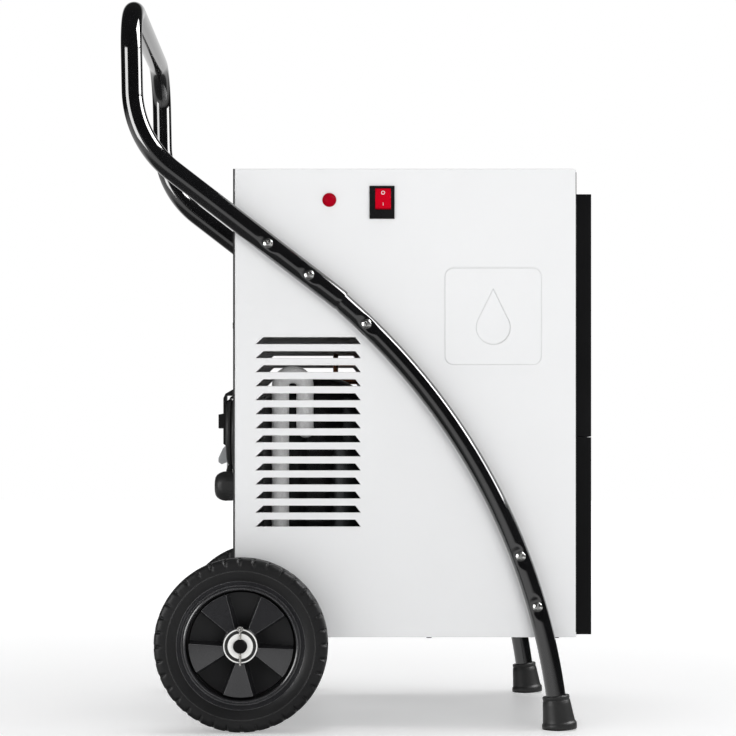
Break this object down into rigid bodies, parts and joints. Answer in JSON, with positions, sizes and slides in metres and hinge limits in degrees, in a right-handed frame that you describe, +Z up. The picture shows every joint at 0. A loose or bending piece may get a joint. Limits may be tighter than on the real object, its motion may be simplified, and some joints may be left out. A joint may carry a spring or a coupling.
{
  "type": "commercial dehumidifier trolley",
  "caption": "Portable commercial condenser dehumidifier: sheet-metal housing on a bent-tube trolley frame with handle, wheels, rubber feet, pull-out tank and wound mains cord.",
  "frame": {"origin": "on the floor under the middle of the bounding box", "axes": "+X to the machine's front (air grille and tank), +Y to the side away from the switch, +Z up"},
  "size_m": [0.55, 0.5136, 0.8551],
  "materials": {
    "white_paint": "powder coat, fine satin",
    "black_tube": "gloss black coat",
    "zinc_sheet": "galvanised sheet",
    "zinc_fixings": "bright zinc plate",
    "black_panel": "fine grain",
    "black_plastic": "smooth moulding",
    "filter_grey": "moulded frame",
    "filter_fabric": "open nylon mesh",
    "tray_plastic": "moulded",
    "fin_aluminium": "stamped fins",
    "copper": "drawn copper tube",
    "fan_plastic": "moulded",
    "motor_grey": "painted can",
    "compressor_black": "black enamel",
    "rubber_black": "moulded rubber",
    "tyre_rubber": "ribbed tread",
    "rim_plastic": "moulded nylon",
    "tank_plastic": "translucent white",
    "float_orange": "foam float",
    "capacitor_can": "drawn can",
    "box_grey": "moulded box",
    "rocker_red": "translucent red moulding",
    "lamp_red": "domed lens",
    "cord_rubber": "mains flex sheath",
    "strap_grey": "soft strap",
    "washer_white": "nylon washer"
  },
  "bodies": {
    "chassis": {"side_panel_right": "white_paint", "side_panel_left": "white_paint", "top_cover": "white_paint", "rear_panel": "white_paint", "base_tray": "zinc_sheet", "partition": "zinc_sheet", "front_frame": "zinc_sheet", "base_bumpers": "rubber_black", "housing_screws": "zinc_fixings", "front_grille": "black_panel", "drip_tray": "tray_plastic", "evaporator_fins": "fin_aluminium", "evaporator_tubes": "copper", "condenser_fins": "fin_aluminium", "condenser_tubes": "copper", "fan_shroud": "zinc_sheet", "fan_motor": "motor_grey", "motor_bracket": "zinc_sheet", "compressor_shell": "compressor_black", "compressor_grommets": "rubber_black", "base_bolts": "zinc_fixings", "terminal_cover": "box_grey", "accumulator": "compressor_black", "filter_drier": "copper", "refrigerant_pipes": "copper", "capillary_tube": "copper", "run_capacitor": "capacitor_can", "control_box": "box_grey", "switch_bezel": "black_plastic", "indicator_lamp": "lamp_red", "level_switch": "black_plastic", "handle_tube": "black_tube", "leg_tube_right": "black_tube", "leg_tube_left": "black_tube", "feet": "rubber_black", "tube_screws": "zinc_fixings", "axle": "black_tube", "axle_brackets": "zinc_sheet", "axle_sleeves": "zinc_fixings", "hub_washers": "washer_white", "cotter_pins": "zinc_fixings", "drain_nipple": "black_plastic", "cord_hooks": "black_plastic", "cord_gland": "rubber_black", "cord_lead": "cord_rubber", "cord_hank": "cord_rubber", "cord_strap": "strap_grey", "cord_plug": "cord_rubber"},
    "wheel_right": {"tyre_right": "tyre_rubber", "rim_right": "rim_plastic"},
    "wheel_left": {"tyre_left": "tyre_rubber", "rim_left": "rim_plastic"},
    "fan": {"fan_blade": "fan_plastic"},
    "rocker": {"switch_rocker": "rocker_red"},
    "tank": {"water_tank": "tank_plastic", "tank_front": "black_panel", "tank_lid": "tank_plastic"},
    "tank_float": {"float_body": "float_orange"},
    "air_filter": {"filter_frame": "filter_grey", "filter_mesh": "filter_fabric"}
  },
  "joints": [
    {"name": "wheel_right_spin", "type": "hinge", "parent": "chassis", "child": "wheel_right", "pos_m": [-0.133, -0.224, 0.1], "axis": [0, 1, 0], "continuous": true},
    {"name": "wheel_left_spin", "type": "hinge", "parent": "chassis", "child": "wheel_left", "pos_m": [-0.133, 0.224, 0.1], "axis": [0, 1, 0], "continuous": true},
    {"name": "fan_spin", "type": "hinge", "parent": "chassis", "child": "fan", "pos_m": [0.114, 0, 0.48], "axis": [1, 0, 0], "continuous": true},
    {"name": "power_rocker", "type": "hinge", "parent": "chassis", "child": "rocker", "pos_m": [0.0307, -0.189, 0.6169], "axis": [1, 0, 0], "range_deg": [0, 16]},
    {"name": "tank_pull_out", "type": "slide", "parent": "chassis", "child": "tank", "axis": [1, 0, 0], "range_m": [0, 0.24]},
    {"name": "float_lift", "type": "slide", "parent": "tank", "child": "tank_float", "axis": [0, 0, 1], "range_m": [0, 0.006]},
    {"name": "filter_lift", "type": "slide", "parent": "chassis", "child": "air_filter", "axis": [0, 0, 1], "range_m": [0, 0.28]}
  ]
}
